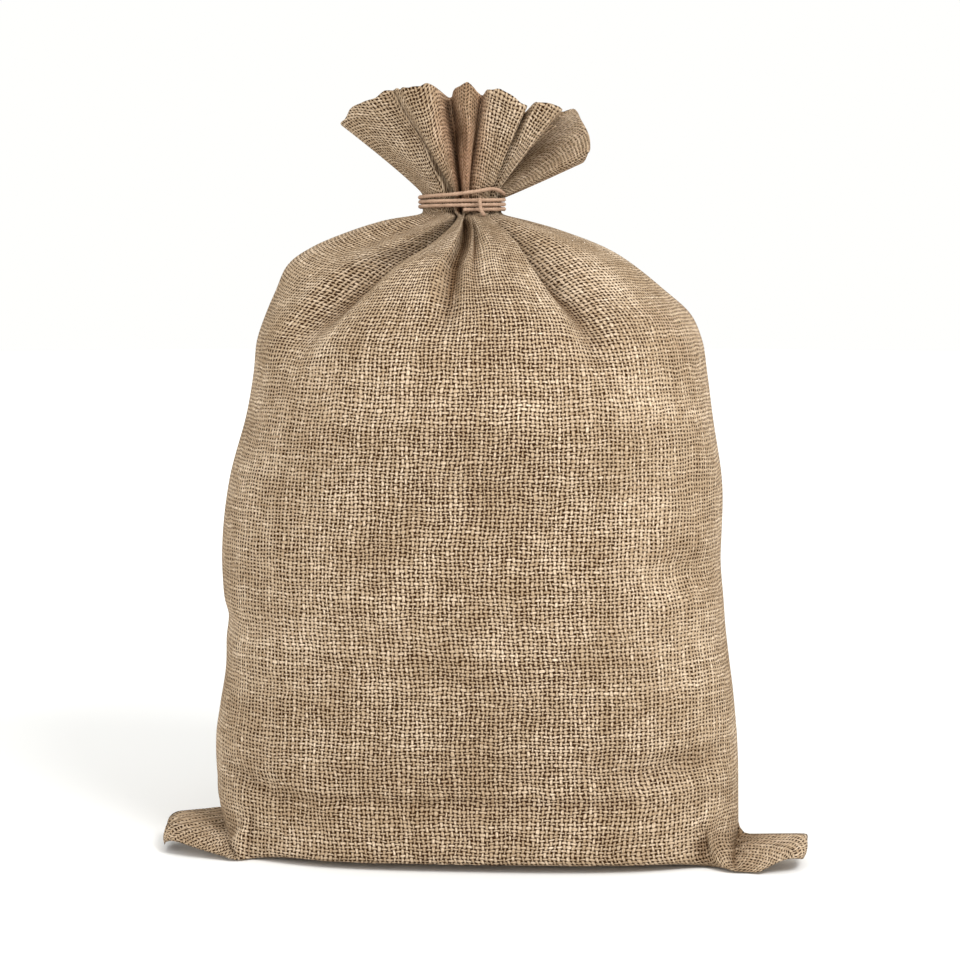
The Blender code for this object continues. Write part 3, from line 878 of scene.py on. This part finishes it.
def ear_guide(count, rows):
    """Where the doubled corners and the seam lie, how firmly each point of the grid is drawn there, and
    for each column where the body starts: its place and how far up the cloth it is."""
    place = np.zeros((rows + 1, count, 3))
    firm = np.zeros((rows + 1, count, 1))
    root, root_up = np.zeros((count, 3)), np.zeros(count)
    up = np.linspace(0, FLAT_LENGTH, rows + 1)[:, None]
    around = np.arange(count) * CLOTH_AROUND / count
    for ear in EARS:
        seam_root, seam_tip, side_tip, side_root = (np.array(point) * MM for point in ear[4:])
        fold = 0 if ear.hand < 0 else FLAT_WIDTH
        offset = (around - fold + FLAT_WIDTH) % CLOTH_AROUND - FLAT_WIDTH  # from the side fold
        front = np.sign(offset) * -ear.hand
        along_seam, up_side = np.abs(offset)[None, :] / (ear.seam * MM), up / (ear.side * MM)
        inward = along_seam + up_side
        across = (up_side / np.maximum(inward, 1e-6))[..., None]
        outward = np.cross([0, 0, 1], side_tip - seam_tip)
        outward *= np.sign(outward[0] * ear.hand) / norm(outward)
        corner = (seam_tip + side_tip) / 2 + outward * EAR_ROUND
        edge_points = np.array([seam_root, seam_tip, corner, side_tip, side_root])
        low, high = (
            np.stack([smooth(EAR_CORNERS, edge_points[:, axis], at) for axis in range(3)], axis=-1)
            for at in ((1 - np.minimum(inward, 1)) / 2, (1 + np.minimum(inward, 1)) / 2)
        )
        flat = low + across * (high - low)
        flat[..., 0] -= ear.hand * EAR_TUCK * (4 * across * (1 - across))[..., 0] * inward**2
        normal = np.cross(side_root - seam_tip, seam_root - seam_tip)
        normal *= np.sign(normal[2]) / norm(normal)
        edge = np.minimum(np.minimum(np.abs(offset)[None, :], up) / EAR_EDGE, 1)
        flat = flat + (front * edge * EAR_PUFF)[..., None] * normal
        axis = (seam_tip + side_tip - seam_root - side_root) * [1, 1, 0]
        axis /= norm(axis)
        over = np.maximum((flat - corner) @ axis + ear.curl * MM, 0)[..., None]
        turn = np.minimum(over / EAR_CURL_RADIUS, np.pi / 2)
        radius = EAR_CURL_RADIUS + ((flat - seam_tip) @ normal)[..., None]
        curled = flat + axis * (radius * np.sin(turn) - over)
        curled = curled - normal * (radius * (1 - np.cos(turn)) + over - EAR_CURL_RADIUS * turn)
        inside = inward < 1
        place[inside] = curled[inside]
        firmness = np.clip(EAR_HOLD_RISE * (1 - inward[inside]), EAR_HOLD_LEAST, 1)
        firm[inside] = EAR_HOLD * firmness[:, None]
        flap = along_seam[0] < 1
        rise = 1 - along_seam[0, flap, None]
        root[flap] = seam_root + (side_root - seam_root) * rise
        root[flap, 0] -= ear.hand * EAR_TUCK * (4 * rise * (1 - rise))[:, 0]
        root_up[flap] = ear.side * MM * rise[:, 0]
    left, right = EARS
    share = np.minimum(around, CLOTH_AROUND - around) - left.seam * MM
    share /= FLAT_WIDTH - (left.seam + right.seam) * MM
    under = (share >= 0) & (share <= 1)
    share = share[under, None]
    line = np.array(left.seam_root) * (1 - share) + np.array(right.seam_root) * share
    place[0, under] = line * MM + np.array([0, SEAM_SAG, 0]) * np.sin(np.pi * share) ** SAG_ROUND
    firm[0, under] = EAR_HOLD
    place[..., 2] = np.maximum(place[..., 2], FLOOR_CLEARANCE)
    root[under] = place[0, under]
    return place, firm, root, root_up


def lengths(points, step_up, step_around):
    """Distances from each point of the grid to the one that many rows up and points around."""
    upper = np.roll(points, -step_around, axis=1)[step_up:]
    return norm(upper - points[: len(upper)], axis=2, keepdims=True)


class Cloth:
    """A grid of cloth that settles: each step moves it, then puts its threads back to their length."""

    def __init__(self, points):
        self.points = points
        self.before = points.copy()
        self.rows, self.count = grid_size(points)
        self.start = start_shape(self.count, self.rows)
        self.around = {reach: lengths(self.start, 0, reach) for reach in (1, 2)}
        self.up = {reach: lengths(self.start, reach, 0) for reach in (1, 2)}
        self.slanting = {lean: lengths(self.start, 1, lean) for lean in (-1, 1)}
        cloth = np.linspace(0, FLAT_LENGTH, self.rows + 1)

        def by_cloth(pairs):
            return np.interp(cloth, *np.array(pairs).T)[:, None, None]

        self.crush = by_cloth(CRUSH)
        self.hold = by_cloth(HOLD)
        self.free = np.ones((self.rows + 1, self.count, 1))
        self.free[(cloth > TIE_AT - WAIST_BELOW) & (cloth < TIE_AT + WAIST_ABOVE)] = 0
        self.guide, self.guided, _, _ = ear_guide(self.count, self.rows)
        self.filled = by_cloth(FILLED) * (self.guided == 0)
        self.contained = by_cloth(CONTAINED) * (self.guided == 0)
        self.opposite = (-np.arange(self.count)) % self.count

    def pull(self, one, other, length, stretch, crush):
        """Moves two sets of points so that the threads between them come nearer to their length."""
        points, free = self.points, self.free
        line = points[other] - points[one]
        now = np.sqrt((line * line).sum(2, keepdims=True)) + 1e-12
        stiffness = np.where(now > length, stretch, crush)
        move = stiffness * (now - length) / now * line / np.maximum(free[one] + free[other], 1)
        points[one] += free[one] * move
        points[other] -= free[other] * move

    def threads_around(self, i, reach, stretch, crush):
        one, other = np.s_[:, i], np.s_[:, (i + reach) % self.count]
        self.pull(one, other, self.around[reach][one], stretch, crush)

    def threads_up(self, j, reach, stretch, crush):
        self.pull(j, j + reach, self.up[reach][j], stretch, crush)

    def bias(self, j, lean):
        i = np.arange(self.count)
        one, other = np.ix_(j, i), np.ix_(j + 1, (i + lean) % self.count)
        self.pull(one, other, self.slanting[lean][one], BIAS, BIAS)

    def keep_lengths(self):
        """Threads are taken in sets that share no point, so that a set moves at once."""
        pairs_around = [np.arange(start, self.count, 2) for start in (0, 1)]
        pairs_up = [np.arange(start, self.rows, 2) for start in (0, 1)]
        bends_around, bends_up = (
            [np.flatnonzero(np.arange(number) % 4 // 2 == half) for half in (0, 1)]
            for number in (self.count, self.rows - 1)
        )
        for turn in range(PASSES):
            for i in pairs_around:
                self.threads_around(i, 1, THREAD, THREAD * self.crush)
            for j in pairs_up:
                self.threads_up(j, 1, THREAD, SHORT_THREAD)
            if turn % 2 == 0:
                for j in pairs_up:
                    self.bias(j, 1)
                    self.bias(j, -1)
                for i in bends_around:
                    self.threads_around(i, 2, BEND, BEND * self.crush)
                for j in bends_up:
                    self.threads_up(j, 2, BEND, BEND)
            self.points[0] = (self.points[0] + self.points[0][self.opposite]) / 2
            self.points[..., 2] = np.maximum(self.points[..., 2], FLOOR_CLEARANCE)

    def keep_in_filling(self):
        """The cloth lies no further out than the filling does."""
        part = self.points
        height = np.clip(part[..., 2] / MM, 0, FILLING[-1].height)
        left, right, front, back, squareness = (
            np.interp(height, column(FILLING, "height"), column(FILLING, name))
            for name in FILLING[0]._fields[1:]
        )
        width = np.where(part[..., 0] < 0, left, right) * MM
        depth = np.where(part[..., 1] < 0, front, back) * MM
        reach = (np.abs(part[..., 0]) / width) ** squareness + (np.abs(part[..., 1]) / depth) ** squareness
        scale = np.where(reach > 1, np.maximum(reach, 1) ** (-1 / squareness), 1.0)
        part[..., :2] *= 1 - (1 - scale[..., None]) * self.contained / 2

    def step(self):
        points = self.points
        moving = (points - self.before) * STEP_DAMPING
        self.before = points.copy()
        along = np.roll(points, -1, 1) - np.roll(points, 1, 1)
        upward = np.gradient(points, axis=0)
        force = unit(np.cross(along, upward)) * self.filled * PUSH_OUT
        force *= 1 + PUSH_GROWTH * (1 - points[..., 2:3] / FILLING_TOP)
        force[..., 2] -= WEIGHT
        self.points = points + (moving + force) * self.free
        self.keep_lengths()
        resting = self.points[..., 2] < FLOOR_CLEARANCE + RESTING
        half_way = (self.points[..., :2] + self.before[..., :2]) / 2
        self.points[..., :2] = np.where(resting[..., None], half_way, self.points[..., :2])
        self.keep_in_filling()
        self.points += self.hold * (self.start - self.points)
        self.points += self.guided * (self.guide - self.points)

    def settle(self, steps):
        for _ in range(steps):
            self.step()
        return self.points


def finer(points):
    """The grid with twice the rows and twice the points around, on smooth curves through the old ones."""
    rows, count = grid_size(points)
    tall = np.zeros((2 * rows + 1, count, 3))
    tall[::2] = points
    tall[1::2] = (points[1:] + points[:-1]) / 2
    tall[3:-3:2] = (9 * (points[1:-2] + points[2:-1]) - (points[:-3] + points[3:])) / 16
    wide = np.zeros((2 * rows + 1, 2 * count, 3))
    wide[:, ::2] = tall
    near = tall + np.roll(tall, -1, 1)
    far = np.roll(tall, 1, 1) + np.roll(tall, -2, 1)
    wide[:, 1::2] = (9 * near - far) / 16
    return wide


def settled_cloth():
    count, rows, steps = COARSE
    points = Cloth(start_shape(count, rows)).settle(steps)
    points = finer(points)
    points = Cloth(points).settle(FINE_STEPS)
    return finer(points)


def normals_of(grid):
    along = np.roll(grid, -1, 1) - np.roll(grid, 1, 1)
    return unit(np.cross(along, np.gradient(grid, axis=0)))


def flat_places(grid):
    """How far each point lies around the cloth and up it. The first column comes again at the end."""
    rows, count = grid_size(grid)
    tie = round(TIE_AT / FLAT_LENGTH * rows)
    up = np.zeros((rows + 1, count))
    up[1:] = np.cumsum(norm(np.diff(grid, axis=0), axis=2), axis=0)
    up -= up[rows // 2]
    around = np.tile(np.linspace(0, CLOTH_AROUND, count + 1), (rows + 1, 1))
    run = run_along(np.concatenate([grid[-1], grid[-1, :1]]))
    around[tie + 1 :] = run * (2 * round(run[-1] / WARP_PITCH / 2) * WARP_PITCH / run[-1])
    return around, np.column_stack([up, up[:, 0]])


def hollows(grid, normals, reach, axis):
    """How deep each point lies below the cloth on both sides of it, from 0 to 1, for painted shade in folds
    and creases.
    """
    one, other = np.roll(grid, reach, axis=axis), np.roll(grid, -reach, axis=axis)
    depth = np.sum(((one + other) / 2 - grid) * normals, axis=2)
    width = np.maximum(norm(one - other, axis=2), HOLLOW_WIDTH)
    return np.clip(depth / width * HOLLOW_GAIN, 0, 1)


def looks_values(grid, normals, tie):
    """For each point of the grid: how far it faces the front or the back, how much painted shade it gets for
    lying deep in a fold or by the tie, and how frayed it is."""
    rows, count = grid_size(grid)
    facing = np.abs(normals[..., 1]) / np.maximum(norm(normals[..., :2], axis=2), LEAST_LEVEL)

    reaches = [count // share for share in HOLLOW_REACHES]
    painted_fold_shade = np.max([hollows(grid, normals, reach, 1) for reach in reaches], axis=0)
    to_rim = ((np.arange(rows + 1) - tie) / (rows - tie))[:, None]
    fade_from, fade_over, fade_by = HOLLOW_FADE
    painted_fold_shade *= 1 - fade_by * ease((to_rim - fade_from) / fade_over)
    lowest, highest = (rows // share for share in FOOT_CREASES)
    foot = slice(lowest, highest)
    painted_fold_shade[foot] = np.maximum(painted_fold_shade, hollows(grid, normals, lowest, 0))[foot]
    near_tie = np.exp(-((np.arange(rows + 1) - tie - 1) / (TIE_SHADE_REACH * (rows - tie))) ** 2)
    painted_fold_shade = np.clip(painted_fold_shade + TIE_SHADE * near_tie[:, None], 0, 1)

    place = np.arange(count) / count
    widest, narrowing = FRAYED_TAPER
    wide = FRAYED_REACH * (widest - narrowing * to_rim)
    rise, at_tie = FRAYED_RISE
    frayed = ease(to_rim * rise + at_tie) * np.exp(-(((place - FRAYED_AT) / wide) ** 4))
    return {"facing": facing, "painted_fold_shade": painted_fold_shade, "frayed": frayed}


def cloth_mesh(grid):
    """One closed mesh: the outside from the bottom seam to the rim, then the inside of the frill down to
    the tie."""
    rows, count = grid_size(grid)
    tie = round(TIE_AT / FLAT_LENGTH * rows)
    normals = normals_of(grid)
    order = np.concatenate([np.arange(rows + 1), np.arange(rows, tie, -1)])
    inner = np.arange(len(order)) > rows
    layers = grid[order] - normals[order] * (inner * CLOTH_THICKNESS)[:, None, None]
    ids = np.arange(len(order) * count).reshape(len(order), count)
    ids[0] = np.minimum(np.arange(count), count - np.arange(count))
    nxt = np.roll(ids, -1, axis=1)
    quads = np.stack([ids[:-1], nxt[:-1], nxt[1:], ids[1:]], axis=-1).reshape(-1, 4)
    used = np.unique(quads)
    new_id = np.full(len(order) * count, -1)
    new_id[used] = np.arange(len(used))
    faces = new_id[quads].tolist()
    faces.append(new_id[ids[-1]].tolist())
    mesh = bpy.data.meshes.new("sack")
    mesh.from_pydata(layers.reshape(-1, 3)[used].tolist(), [], faces)

    flat = np.stack(flat_places(grid), axis=-1)[order]
    corners = [flat[:-1, :-1], flat[:-1, 1:], flat[1:, 1:], flat[1:, :-1]]
    uv = np.concatenate([np.stack(corners, axis=2).reshape(-1, 2), flat[-1, :-1]])
    mesh.uv_layers.new(name="cloth").data.foreach_set("uv", uv.astype(np.float32).ravel())

    for name, value in looks_values(grid, normals, tie).items():
        value = value[order].reshape(-1)[used].astype(np.float32)
        mesh.attributes.new(name, "FLOAT", "POINT").data.foreach_set("value", value)
    mesh.shade_smooth()
    return mesh


def make_sack():
    mesh = cloth_mesh(settled_cloth())
    mesh.materials.append(jute_cloth())
    sack = add_object("jute_sack", mesh)
    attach(sack, "root")
    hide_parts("sack")


make_camera()
make_studio()
make_tie()
make_sack()
